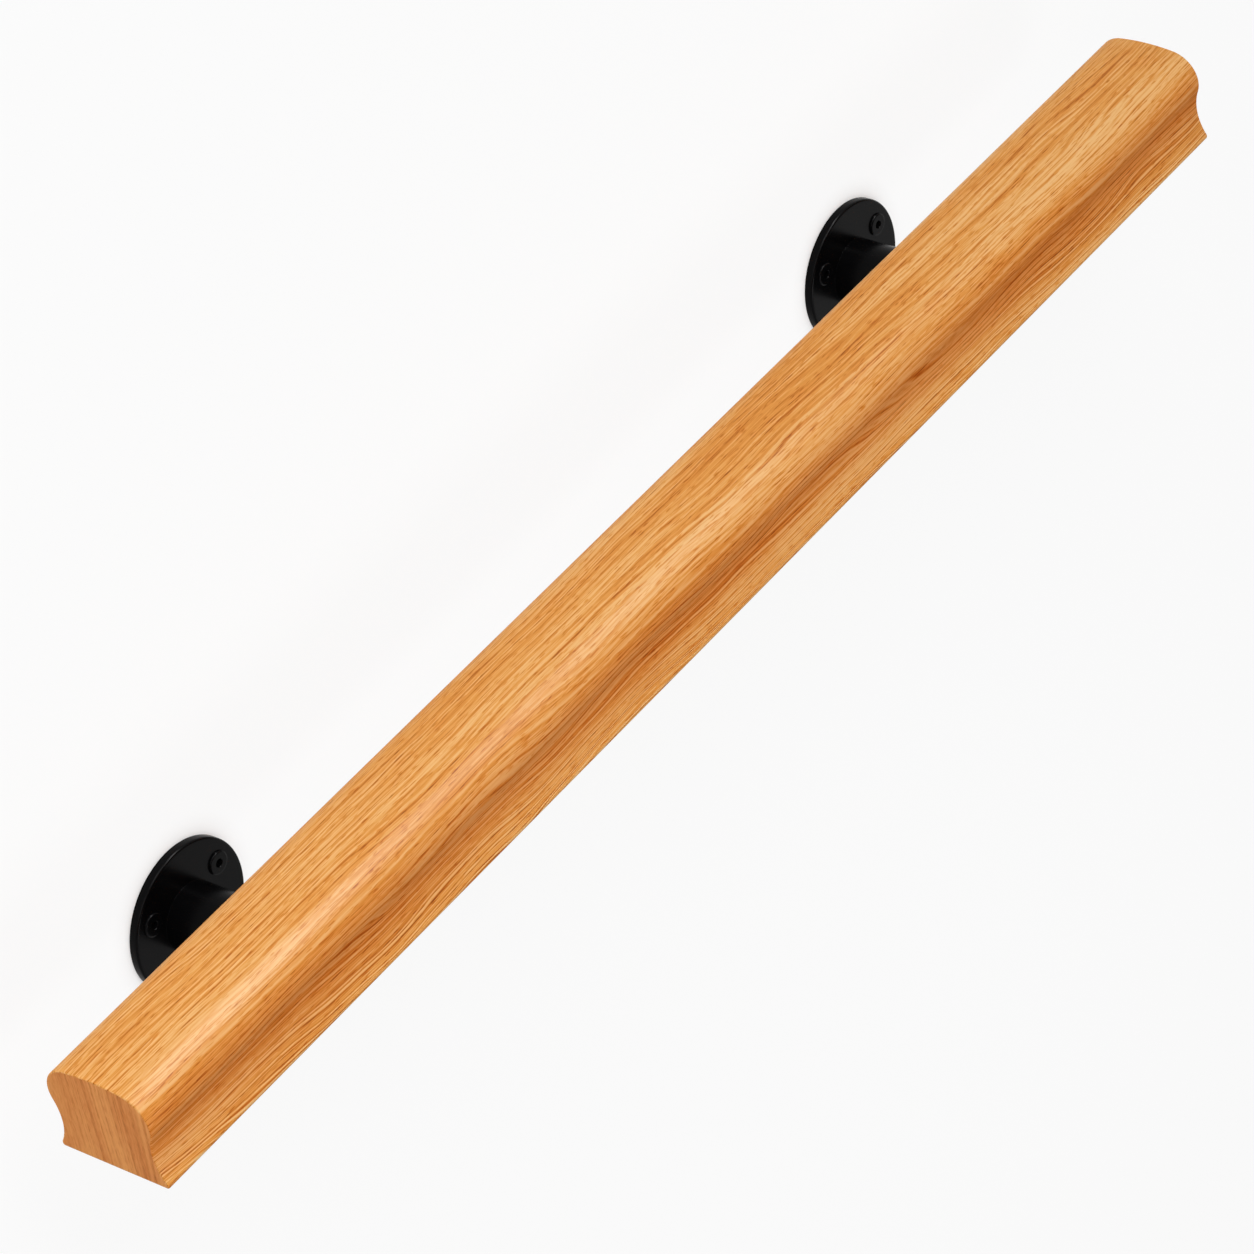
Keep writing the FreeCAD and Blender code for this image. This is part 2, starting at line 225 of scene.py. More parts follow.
def skin(name: str, rings: np.ndarray) -> Piece:
    """Makes an object from a stack of closed rings, with one flat face over each end.

    Neighbouring rings are joined by quads. The quads' signed volume about their middle, the sum of the
    corners' triple products, says whether the faces have to be turned to point outwards.

    Args:
        name: the piece's name.
        rings: points in millimetres, shaped (rings, columns, 3).

    Returns:
        The object, linked to the scene and smooth but for its sharp edges.
    """
    count, around, _ = rings.shape
    index = np.arange(count * around).reshape(count, around)
    beside = np.roll(index, -1, axis=1)
    quads = np.stack([index[:-1], beside[:-1], beside[1:], index[1:]], axis=-1).reshape(-1, 4)
    points = rings.reshape(-1, 3)
    a, b, c, d = ((points - points.mean(0))[quads[:, corner]] for corner in range(4))
    volume = np.sum(a * np.cross(b, c)) + np.sum(a * np.cross(c, d))
    if volume < 0:
        quads, index = quads[:, ::-1], index[:, ::-1]
    mesh = bpy.data.meshes.new(name)
    mesh.from_pydata(points * MM, [], [*quads.tolist(), index[0, ::-1].tolist(), index[-1].tolist()])
    mesh.shade_smooth()
    mesh.set_sharp_from_angle(angle=SHARP_ANGLE)
    piece = bpy.data.objects.new(name, mesh)
    bpy.context.scene.collection.objects.link(piece)
    return piece


def shape(piece: Piece, tools: list[Piece], work: Work) -> None:
    """Joins shapes to a piece or cuts them out of it, and keeps the result as its plain mesh.

    Args:
        piece: the piece that is worked.
        tools: closed shapes, which are deleted afterwards.
        work: whether they are joined or cut out.
    """
    for tool in tools:
        step = piece.modifiers.new(tool.name, "BOOLEAN")
        step.object = tool
        step.operation = work.value
        step.solver = "EXACT"
    finished = piece.evaluated_get(bpy.context.evaluated_depsgraph_get())
    mesh = bpy.data.meshes.new_from_object(finished)
    mesh.set_sharp_from_angle(angle=SHARP_ANGLE)
    piece.modifiers.clear()
    solid, piece.data = piece.data, mesh
    bpy.data.meshes.remove(solid)
    mesh.name = piece.name
    for tool in tools:
        bpy.data.meshes.remove(tool.data)


def dress(piece: Piece, node: str) -> None:
    """Lets a finished piece stand for its node and reports it.

    Args:
        piece: the finished piece.
        node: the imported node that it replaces.
    """
    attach(piece, BODY)
    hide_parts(node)
    LOG.info("%s: %d faces, stands for %s", piece.name, len(piece.data.polygons), node)


@dataclass(frozen=True)
class Noise:
    """A soft noise in the wood: its length along the grain, its width across it and its detail."""

    name: str
    along: float
    across: float
    detail: float = 0.0
    roughness: float = 0.55


@dataclass(frozen=True)
class Weights:
    """How far each field of the figure moves the wood's tone, up or down."""

    line: float
    pore: float
    fine: float
    fibre: float
    broad: float


@dataclass(frozen=True)
class OakFigure:
    """The ring lines, fibres and pores of one oak board, as a solid pattern in millimetres.

    The ring count runs across the crown and, by the given bend, on down both sides, so that fine wavy lines
    cover every face. Without a bend it gives the straight streaks of a sawn end.
    """

    middle: Point
    half_height: float
    # How the count bends round the sides and how far the noises shift it.
    bend: float = 1.25
    bend_width: float = 25.0
    waviness: float = 1.0
    wander_reach: float = 24.0
    wave_reach: float = 12.0
    wave_growth: float = 0.016
    ripple_reach: float = 2.4
    # How much taller than wide the noises stand, and the grain's slant to the rail in degrees.
    upright: float = 1.0
    run_out: float = 0.4
    # The rings' width, how they spread and crowd, the shares of a ring where its dark line ends and starts,
    # and the strength of the faintest year's line.
    ring_width: float = 4.6
    ring_drift: float = 11.0
    drift_length: float = 19.0
    early_share: float = 0.42
    late_edge: float = 0.84
    faintest_year: float = 0.3
    # The noise values between which fibres break the lines and pores open.
    fibre_span: tuple[float, float] = (0.35, 0.65)
    dash_span: tuple[float, float] = (1.4, 0.5)
    pore_span: tuple[float, float] = (0.61, 0.75)
    fine_width: float = 1.3
    side_contrast: float = 0.035
    # Oak's pores are about 0.3 mm wide and its fibres far finer. Both are drawn coarser so that they show.
    noises: tuple[Noise, ...] = (
        Noise("wander", 300.0, 50.0), Noise("wave", 105.0, 22.0), Noise("ripple", 36.0, 8.0),
        Noise("broad", 230.0, 14.0), Noise("fibre", 22.0, 0.9, detail=2.0), Noise("pore", 7.0, 0.6))

    def sockets(self, tree: Tree) -> dict[str, Socket]:
        """Adds the pattern's nodes, on coordinates centred on the rail and turned to its grain.

        Args:
            tree: the material's node tree.

        Returns:
            Sockets from nought to one, line, fine, fibre, pore and broad, and the depth below the crown.
        """
        place = add_node(tree, "ShaderNodeTexCoord").outputs["Object"]
        grain = add_node(tree, "ShaderNodeMapping", {
            "Vector": place, "Location": tuple(value * MM for value in self.middle),
            "Rotation": (0.0, math.radians(self.run_out), 0.0), "Scale": (MM, MM, MM),
        }, vector_type="TEXTURE").outputs[0]
        parts = add_node(tree, "ShaderNodeSeparateXYZ", {0: grain})
        depth = add_node(tree, "ShaderNodeMath", {0: parts.outputs["Y"], 1: self.half_height},
                         operation="ADD").outputs[0]
        noises = self.add_noises(tree, grain)
        count = self.add_count(tree, parts.outputs["Z"], depth, noises)
        low, high = self.pore_span
        pore = add_node(tree, "ShaderNodeMapRange", {
            "Value": noises["pore"], "From Min": low, "From Max": high, "To Min": 0.0, "To Max": 1.0},
            interpolation_type="SMOOTHSTEP").outputs[0]
        return {"line": self.add_ring_lines(tree, count, noises["fibre"]),
                "fine": self.add_fine_lines(tree, count, depth),
                "fibre": noises["fibre"], "pore": pore, "broad": noises["broad"], "depth": depth}

    def add_noises(self, tree: Tree, grain: Socket) -> dict[str, Socket]:
        """Adds the soft noises, each stretched along the grain to its own length and width.

        Args:
            tree: the material's node tree.
            grain: the place in the board in millimetres.

        Returns:
            For each noise's name, its socket.
        """
        sockets = {}
        for noise in self.noises:
            stretch = (1 / noise.along, 1 / (noise.across * self.upright), 1 / noise.across)
            place = add_node(tree, "ShaderNodeVectorMath", {0: grain, 1: stretch},
                             operation="MULTIPLY").outputs[0]
            sockets[noise.name] = add_node(tree, "ShaderNodeTexNoise", {
                "Vector": place, "Scale": 1.0, "Detail": noise.detail,
                "Roughness": noise.roughness}).outputs["Fac"]
        return sockets

    def add_count(self, tree: Tree, across: Socket, depth: Socket, noises: Mapping[str, Socket]) -> Socket:
        """Adds up the ring count, in millimetres across the rings.

        It is the distance across, plus the bend times the depth below the crown times the hyperbolic tangent
        of the distance across, plus the noises that make the lines wander. A slow noise of the count itself
        then spreads and crowds the rings, as good and lean years do.

        Args:
            tree: the material's node tree.
            across: the distance across the rail from its middle.
            depth: the depth below the crown.
            noises: the soft noises.

        Returns:
            The count's socket.
        """
        scaled = add_node(tree, "ShaderNodeMath", {0: across, 1: self.bend_width},
                          operation="DIVIDE").outputs[0]
        side = add_node(tree, "ShaderNodeMath", {0: scaled}, operation="TANH").outputs[0]
        bent = add_node(tree, "ShaderNodeMath", {0: depth, 1: side}, operation="MULTIPLY").outputs[0]
        # The waves grow with the depth below the crown, so that the lines in the coves run aslant.
        growth = add_node(tree, "ShaderNodeMath", {0: depth, 1: self.wave_growth, 2: 1.0},
                          operation="MULTIPLY_ADD").outputs[0]
        wave = add_node(tree, "ShaderNodeMath", {0: noises["wave"], 1: growth},
                        operation="MULTIPLY").outputs[0]
        count = across
        for source, reach in ((bent, self.bend), (noises["wander"], self.wander_reach * self.waviness),
                              (wave, self.wave_reach * self.waviness),
                              (noises["ripple"], self.ripple_reach * self.waviness)):
            count = add_node(tree, "ShaderNodeMath", {0: source, 1: reach, 2: count},
                             operation="MULTIPLY_ADD").outputs[0]
        drift_at = add_node(tree, "ShaderNodeMath", {0: count, 1: self.drift_length},
                            operation="DIVIDE").outputs[0]
        drift = add_node(tree, "ShaderNodeTexNoise", {"W": drift_at, "Scale": 1.0, "Detail": 1.0},
                         noise_dimensions="1D").outputs["Fac"]
        return add_node(tree, "ShaderNodeMath", {0: drift, 1: self.ring_drift, 2: count},
                        operation="MULTIPLY_ADD").outputs[0]

    def add_ring_lines(self, tree: Tree, count: Socket, fibre: Socket) -> Socket:
        """Adds the dark line of early wood in each ring.

        The line falls off slowly on one side of the ring's start and quickly on the other. Each year has its
        own strength, and the fibres break the line into dashes.

        Args:
            tree: the material's node tree.
            count: the ring count.
            fibre: the fibres' noise.

        Returns:
            The lines' socket.
        """
        rings = add_node(tree, "ShaderNodeMath", {0: count, 1: self.ring_width},
                         operation="DIVIDE").outputs[0]
        phase = add_node(tree, "ShaderNodeMath", {0: rings}, operation="FRACT").outputs[0]
        number = add_node(tree, "ShaderNodeMath", {0: rings}, operation="FLOOR").outputs[0]
        falling = add_node(tree, "ShaderNodeMapRange", {
            "Value": phase, "From Min": 0.0, "From Max": self.early_share, "To Min": 1.0, "To Max": 0.0},
            interpolation_type="SMOOTHSTEP").outputs[0]
        rising = add_node(tree, "ShaderNodeMapRange", {
            "Value": phase, "From Min": self.late_edge, "From Max": 1.0, "To Min": 0.0, "To Max": 1.0},
            interpolation_type="SMOOTHSTEP").outputs[0]
        early = add_node(tree, "ShaderNodeMath", {0: falling, 1: rising}, operation="MAXIMUM").outputs[0]
        year = add_node(tree, "ShaderNodeTexWhiteNoise", {"W": number},
                        noise_dimensions="1D").outputs["Value"]
        strength = add_node(tree, "ShaderNodeMapRange", {
            "Value": year, "To Min": self.faintest_year, "To Max": 1.0}).outputs[0]
        ring = add_node(tree, "ShaderNodeMath", {0: early, 1: strength}, operation="MULTIPLY").outputs[0]
        low, high = self.fibre_span
        dark, faint = self.dash_span
        dashes = add_node(tree, "ShaderNodeMapRange", {
            "Value": fibre, "From Min": low, "From Max": high, "To Min": dark, "To Max": faint}).outputs[0]
        return add_node(tree, "ShaderNodeMath", {0: ring, 1: dashes}, operation="MULTIPLY").outputs[0]

    def add_fine_lines(self, tree: Tree, count: Socket, depth: Socket) -> Socket:
        """Adds the fine lines between the rings: a noise of the count, about its middle of a half.

        They are drawn about a millimetre apart so that they show in the render, and stand out more down the
        sides, where the saw met the rings squarely.

        Args:
            tree: the material's node tree.
            count: the ring count.
            depth: the depth below the crown.

        Returns:
            The lines' socket.
        """
        place = add_node(tree, "ShaderNodeMath", {0: count, 1: self.fine_width},
                         operation="DIVIDE").outputs[0]
        even = add_node(tree, "ShaderNodeTexNoise", {"W": place, "Scale": 1.0, "Detail": 1.0},
                        noise_dimensions="1D").outputs["Fac"]
        contrast = add_node(tree, "ShaderNodeMath", {0: depth, 1: self.side_contrast, 2: 1.0},
                            operation="MULTIPLY_ADD").outputs[0]
        centred = add_node(tree, "ShaderNodeMath", {0: even, 1: 0.5}, operation="SUBTRACT").outputs[0]
        return add_node(tree, "ShaderNodeMath", {0: centred, 1: contrast, 2: 0.5},
                        operation="MULTIPLY_ADD").outputs[0]

    @staticmethod
    def colour(tree: Tree, fields: Mapping[str, Socket], tone: float, weights: Weights,
               stops: Stops) -> Socket:
        """Adds up the fields to a tone, each weighed about its middle, and colours it through a ramp.

        Args:
            tree: the material's node tree.
            fields: the figure's sockets.
            tone: the tone where every field is at its middle.
            weights: how far each field moves the tone.
            stops: place and sRGB colour of each stop of the ramp.

        Returns:
            The colour socket.
        """
        weighed = asdict(weights)
        level = tone - sum(weighed.values()) / 2
        for name, weight in weighed.items():
            level = add_node(tree, "ShaderNodeMath", {0: fields[name], 1: weight, 2: level},
                             operation="MULTIPLY_ADD").outputs[0]
        ramp = add_node(tree, "ShaderNodeValToRGB", {"Fac": level})
        for position, _ in stops[1:-1]:
            ramp.color_ramp.elements.new(position)
        for element, (position, colour) in zip(ramp.color_ramp.elements, stops):
            element.position = position
            element.color = linear(colour)
        return ramp.outputs["Color"]


@dataclass(frozen=True)
class LacqueredOak:
    """Planed oak under a satin lacquer: honey bands, brown ring lines and open pores below a soft gloss."""

    figure: OakFigure
    stops: Stops = (
        (0.0, "#90420d"), (0.3, "#c1651c"), (0.55, "#dc8a38"), (0.75, "#eaa04d"), (1.0, "#f8c380"))
    weights: Weights = Weights(line=-0.36, pore=-0.28, fine=0.56, fibre=0.5, broad=0.5)
    tone: float = 0.52
    # Painted shade: a darker, redder colour multiplied into the coves, in place of their shade and the wood's
    # bounced light.
    hollow_tint: str = "#ffdabd"
    hollow_depth: float = 27.0
    hollow_reach: float = 27.0
    roughness: float = 0.42
    ior: float = 1.5
    specular: float = 0.0
    coat: float = 0.25
    hollow_coat: float = 0.03
    coat_roughness: float = 0.35
    pore_relief: float = 0.03

    def hollow(self, tree: Tree, depth: Socket) -> Socket:
        """Adds a field that is one at the hollows' depth and falls smoothly to nought at their reach.

        Args:
            tree: the material's node tree.
            depth: the depth below the crown.

        Returns:
            The field's socket.
        """
        offset = add_node(tree, "ShaderNodeMath", {0: depth, 1: self.hollow_depth},
                          operation="SUBTRACT").outputs[0]
        apart = add_node(tree, "ShaderNodeMath", {0: offset}, operation="ABSOLUTE").outputs[0]
        return add_node(tree, "ShaderNodeMapRange", {
            "Value": apart, "From Min": 0.0, "From Max": self.hollow_reach, "To Min": 1.0, "To Max": 0.0},
            interpolation_type="SMOOTHSTEP").outputs[0]

    def material(self) -> Material:
        """Makes the moulded face, with its pores slightly sunk and painted shade in the hollows: a darker,
        redder colour multiplied in there.

        Returns:
            The material.
        """
        made, tree = new_material("lacquered_oak")
        fields = self.figure.sockets(tree)
        colour = self.figure.colour(tree, fields, self.tone, self.weights, self.stops)
        hollow = self.hollow(tree, fields["depth"])
        # Painted shade: the colour in the hollows is multiplied by a darker, redder tint. Sockets 6 and 7
        # take the two colours that are multiplied.
        shaded_colour = add_node(tree, "ShaderNodeMix", {"Factor": hollow, 6: colour, 7: linear(self.hollow_tint)},
                           data_type="RGBA", blend_type="MULTIPLY").outputs[2]
        # The lacquer is rubbed to a soft gloss where hands and cloth reach it and stays matt in the hollows.
        coat = add_node(tree, "ShaderNodeMapRange", {
            "Value": hollow, "To Min": self.coat, "To Max": self.hollow_coat}).outputs[0]
        bump = add_node(tree, "ShaderNodeBump", {
            "Height": fields["pore"], "Strength": 1.0, "Distance": self.pore_relief * MM},
            invert=True).outputs[0]
        surface = add_node(tree, "ShaderNodeBsdfPrincipled", {
            "Base Color": shaded_colour, "Roughness": self.roughness, "IOR": self.ior,
            "Specular IOR Level": self.specular, "Coat Weight": coat,
            "Coat Roughness": self.coat_roughness, "Normal": bump}).outputs[0]
        add_node(tree, "ShaderNodeOutputMaterial", {"Surface": surface})
        return made


@dataclass(frozen=True)
class SawnOak:
    """Sawn and sanded end grain: browner, since the open pores drink the lacquer, and nearly matt."""

    figure: OakFigure
    stops: Stops = ((0.0, "#9a4c1b"), (0.35, "#c87032"), (0.65, "#e48c46"), (1.0, "#fcae62"))
    weights: Weights = Weights(line=-0.26, pore=-0.1, fine=0.4, fibre=0.35, broad=0.5)
    tone: float = 0.63
    roughness: float = 0.62
    ior: float = 1.5
    specular: float = 0.15

    def material(self) -> Material:
        """Makes the end face: the same rings as streaks, with pores as dots.

        Returns:
            The material.
        """
        made, tree = new_material("sawn_oak_end_grain")
        fields = self.figure.sockets(tree)
        colour = self.figure.colour(tree, fields, self.tone, self.weights, self.stops)
        surface = add_node(tree, "ShaderNodeBsdfPrincipled", {
            "Base Color": colour, "Roughness": self.roughness, "IOR": self.ior,
            "Specular IOR Level": self.specular}).outputs[0]
        add_node(tree, "ShaderNodeOutputMaterial", {"Surface": surface})
        return made


@dataclass(frozen=True)
class BlackFinish:
    """A black finish on metal: its colour, its gloss and the size and depth of its faint peel."""

    name: str
    colour: str
    roughness: float
    specular: float
    peel_size: float
    peel_depth: float
    gloss_spread: float = 0.06
    peel_detail: float = 2.0
    ior: float = 1.5

    def material(self) -> Material:
        """Makes the finish: one noise breaks up the gloss and gives the peel.

        Returns:
            The material.
        """
        made, tree = new_material(self.name)
        place = add_node(tree, "ShaderNodeTexCoord").outputs["Object"]
        peel = add_node(tree, "ShaderNodeTexNoise", {
            "Vector": place, "Scale": 1 / (self.peel_size * MM), "Detail": self.peel_detail}).outputs["Fac"]
        gloss = add_node(tree, "ShaderNodeMapRange", {
            "Value": peel, "To Min": self.roughness - self.gloss_spread,
            "To Max": self.roughness + self.gloss_spread}).outputs[0]
        bump = add_node(tree, "ShaderNodeBump", {
            "Height": peel, "Strength": 1.0, "Distance": self.peel_depth * MM}).outputs[0]
        surface = add_node(tree, "ShaderNodeBsdfPrincipled", {
            "Base Color": linear(self.colour), "Roughness": gloss, "IOR": self.ior,
            "Specular IOR Level": self.specular, "Normal": bump}).outputs[0]
        add_node(tree, "ShaderNodeOutputMaterial", {"Surface": surface})
        return made


@dataclass
class RailScrew:
    """A countersunk wood screw with a cross recess, up through a tongue into the rail."""

    end: End
    place: Place
    head_radius: float = 4.5
    shank_radius: float = 2.25
    root_radius: float = 1.55
    head_edge: float = 0.15
    neck: float = 0.5
    thread_start: float = 10.0
    thread_fade: float = 1.0
    thread_pitch: float = 2.2
    point: float = 6.0
    blunt_share: float = 0.03
    recess_depth: float = 1.7
    recess_floor: float = 0.3
    recess_reach: float = 2.5
    recess_width: float = 0.55
    recess_inside: float = 0.1
    recess_outside: float = 0.2
    first_ring: float = 0.05
    face_rings: int = 44
    shank_rings: int = 170
    columns: int = 96
    node: str = field(init=False)
    axis: tuple[float, float] = field(init=False)
    head_y: float = field(init=False)
    length: float = field(init=False)

    def __post_init__(self) -> None:
        """Takes the screw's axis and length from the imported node."""
        self.node = f"rail_screw_{self.end.value}_{self.place.value}"
        low, high = packed_box(self.node)
        self.axis = (float(low[0] + high[0]) / 2, float(low[2] + high[2]) / 2)
        self.head_y = float(high[1])
        self.length = float(high[1] - low[1])

    def placed(self, points: np.ndarray, y: float) -> np.ndarray:
        """Turns points made round +Z up into the rail, on the screw's axis and with their start at y."""
        return points @ INTO_THE_RAIL.T + (self.axis[0], y, self.axis[1])

    def rings(self) -> np.ndarray:
        """The screw round its own axis, from the middle of the head to the tip.

        The head's depth is that of a cross: for each arm, a smooth step across its width times one along its
        reach. The thread's radius is the root plus a ridge, one less twice the distance from the crest in
        turns, where the crest climbs one pitch for each turn.

        Returns:
            Rings of points, shaped (rings, columns, 3).
        """
        angle = np.linspace(0, FULL_TURN, self.columns, endpoint=False)
        face = np.linspace(self.first_ring, self.head_radius - self.head_edge, self.face_rings)[:, None]
        x, y = face * np.cos(angle), face * np.sin(angle)
        inside, outside = self.recess_width - self.recess_inside, self.recess_width + self.recess_outside
        arms = [(1 - ramp_up(np.abs(wide), inside, outside))
                * (1 - ramp_up(np.abs(far), self.recess_floor, self.recess_reach))
                for far, wide in ((x, y), (y, x))]
        head = np.stack([x, y, self.recess_depth * np.maximum(*arms)], axis=-1)
        sunk = self.head_radius - self.shank_radius + self.head_edge
        cone = turned(np.array([(self.head_radius, self.head_edge), (self.shank_radius, sunk)]), self.columns)
        height = np.linspace(sunk + self.neck, self.length, self.shank_rings)[:, None] + 0 * angle
        turns = height / self.thread_pitch - angle / FULL_TURN
        ridge = 1 - 2 * np.abs(turns - np.round(turns))
        threaded = ramp_up(height, self.thread_start - self.thread_fade, self.thread_start + self.thread_fade)
        radius = self.shank_radius - threaded * (self.shank_radius - self.root_radius) * (1 - ridge)
        radius = radius * np.clip((self.length - height) / self.point, self.blunt_share, 1)
        shank = np.stack([radius * np.cos(angle), radius * np.sin(angle), height], axis=-1)
        return np.concatenate([head, cone, shank])

    def build(self, finish: Material) -> None:
        """Makes the screw in its hole.

        Args:
            finish: the screw's finish.
        """
        piece = skin(f"screw_{self.end.value}_{self.place.value}", self.placed(self.rings(), self.head_y))
        piece.data.materials.append(finish)
        dress(piece, self.node)


@dataclass
class Handrail:
    """The moulded rail: a section of tangent arcs run along X, with eased ends and bored pilots."""

    node: str = "handrail"
    base_round: float = 1.5
    lip_height: float = 2.5
    lip_round: float = 1.0
    cove_radius: float = 32.8
    shoulder_width: float = 63.6
    shoulder_radius: float = 17.2
    crown_radius: float = 122.7
    end_ease: float = 0.8
    end_land: float = 0.95
    pilot_radius: float = 2.35
    pilot_depth: float = 22.1
    base_points: int = 12
    edge_points: int = 7
    lip_points: int = 6
    cove_points: int = 28
    shoulder_points: int = 44
    crown_points: int = 12
    ease_steps: int = 6
    stations: int = 41
    pilot_columns: int = 32
    length: float = field(init=False)
    height: float = field(init=False)
    width: float = field(init=False)
    base_y: float = field(init=False)
    middle_z: float = field(init=False)

    def __post_init__(self) -> None:
        """Takes the length, width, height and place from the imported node."""
        low, high = packed_box(self.node)
        self.length, self.height, self.width = (high - low).tolist()
        self.base_y = float(high[1])
        self.middle_z = float(low[2] + high[2]) / 2

    @property
    def middle(self) -> Point:
        """The middle of the rail's section, halfway along."""
        return (0.0, self.base_y - self.height / 2, self.middle_z)

    def section(self) -> np.ndarray:
        """The rail's closed outline, as distance across and height above the base.

        The crown, shoulder and cove are tangent arcs. The cove's middle lies where a circle round the lip's
        top corner meets one round the shoulder's middle. A small arc rounds the lip's top corner: its middle
        lies its radius inside the upright and the two radii added from the cove's middle.

        Returns:
            Points anticlockwise from the middle of the base, shaped (points, 2).
        """
        half, edge = self.width / 2, self.base_round
        crown = np.array([0.0, self.height - self.crown_radius])
        aside = self.shoulder_width / 2 - self.shoulder_radius
        rise = math.sqrt((self.crown_radius - self.shoulder_radius) ** 2 - aside ** 2)
        shoulder = crown + (aside, rise)
        to_lip = np.array([half, self.lip_height]) - shoulder
        apart = np.hypot(*to_lip)
        reach = self.shoulder_radius + self.cove_radius
        toward = (reach ** 2 - self.cove_radius ** 2 + apart ** 2) / (2 * apart)
        step = to_lip / apart
        cove = shoulder + toward * step + math.sqrt(reach ** 2 - toward ** 2) * np.array([-step[1], step[0]])
        lip_across = half - self.lip_round
        lip_up = cove[1] - math.sqrt((self.cove_radius + self.lip_round) ** 2 - (cove[0] - lip_across) ** 2)
        lip_end = math.atan2(cove[1] - lip_up, cove[0] - lip_across)
        cove_end = math.atan2(*(shoulder - cove)[::-1])
        crown_start = math.atan2(rise, aside)
        base = np.linspace(0, half - edge, self.base_points)[:-1]
        side = np.concatenate([
            np.stack([base, 0 * base], axis=-1),
            arc((half - edge, edge), edge, -QUARTER, 0, self.edge_points),
            arc((lip_across, lip_up), self.lip_round, 0, lip_end, self.lip_points),
            arc(tuple(cove), self.cove_radius, lip_end - math.pi, cove_end - FULL_TURN, self.cove_points)[1:],
            arc(tuple(shoulder), self.shoulder_radius, cove_end - math.pi, crown_start,
                self.shoulder_points)[1:],
            arc(tuple(crown), self.crown_radius, crown_start, QUARTER, self.crown_points)[1:],
        ])
        return np.concatenate([side, side[-2:0:-1] * (-1, 1)])

    def rings(self) -> np.ndarray:
        """The section carried along the rail, drawn in along its normals round each eased end.

        Over an end the inset is the ease times one less the cosine of an angle, and the length gains the ease
        times its sine, which makes a quarter round. A slightly smaller ring then starts the flat end.

        Returns:
            Rings of points, shaped (rings, points, 3).
        """
        outline = self.section()
        along = np.roll(outline, -1, axis=0) - np.roll(outline, 1, axis=0)
        inward = np.stack([-along[:, 1], along[:, 0]], axis=-1) / np.hypot(*along.T)[:, None]
        turn = np.linspace(0, QUARTER, self.ease_steps)
        straight = self.length / 2 - self.end_ease
        round_x = straight + self.end_ease * np.sin(turn)
        round_inset = self.end_ease * (1 - np.cos(turn))
        stations = np.linspace(-straight, straight, self.stations)[1:-1]
        x = np.concatenate([-round_x[::-1], stations, round_x])
        inset = np.concatenate([round_inset[::-1], 0 * stations, round_inset])
        flat = outline + inset[:, None, None] * inward
        centre = np.array([0.0, self.height / 2])
        land = centre + (flat[:1] - centre) * self.end_land
        flat = np.concatenate([land, flat, land])
        x = np.concatenate([x[:1], x, x[-1:]])[:, None] + 0 * flat[..., 0]
        return np.stack([x, self.base_y - flat[..., 1], self.middle_z + flat[..., 0]], axis=-1)

    def build(self, face: Material, end: Material, screws: list[RailScrew]) -> None:
        """Makes the rail, gives its ends their own finish and bores a pilot for each screw.

        Args:
            face: finish of the moulded faces.
            end: finish of the two sawn ends.
            screws: the screws that go up into the base.
        """
        rings = self.rings()
        piece = skin("oak_rail", rings)
        piece.data.materials.append(face)
        piece.data.materials.append(end)
        # The first and last band of quads and the two flat faces after them are the sawn ends.
        count, around, _ = rings.shape
        is_end = np.zeros((count - 1, around), dtype=np.int32)
        is_end[[0, -1]] = 1
        piece.data.polygons.foreach_set("material_index", [*is_end.ravel().tolist(), 1, 1])
        profile = np.array([(self.pilot_radius, -PAST_FACE), (self.pilot_radius, self.pilot_depth)])
        pilot = turned(profile, self.pilot_columns)
        shape(piece, [skin("pilot", screw.placed(pilot, self.base_y)) for screw in screws], Work.CUT)
        dress(piece, self.node)


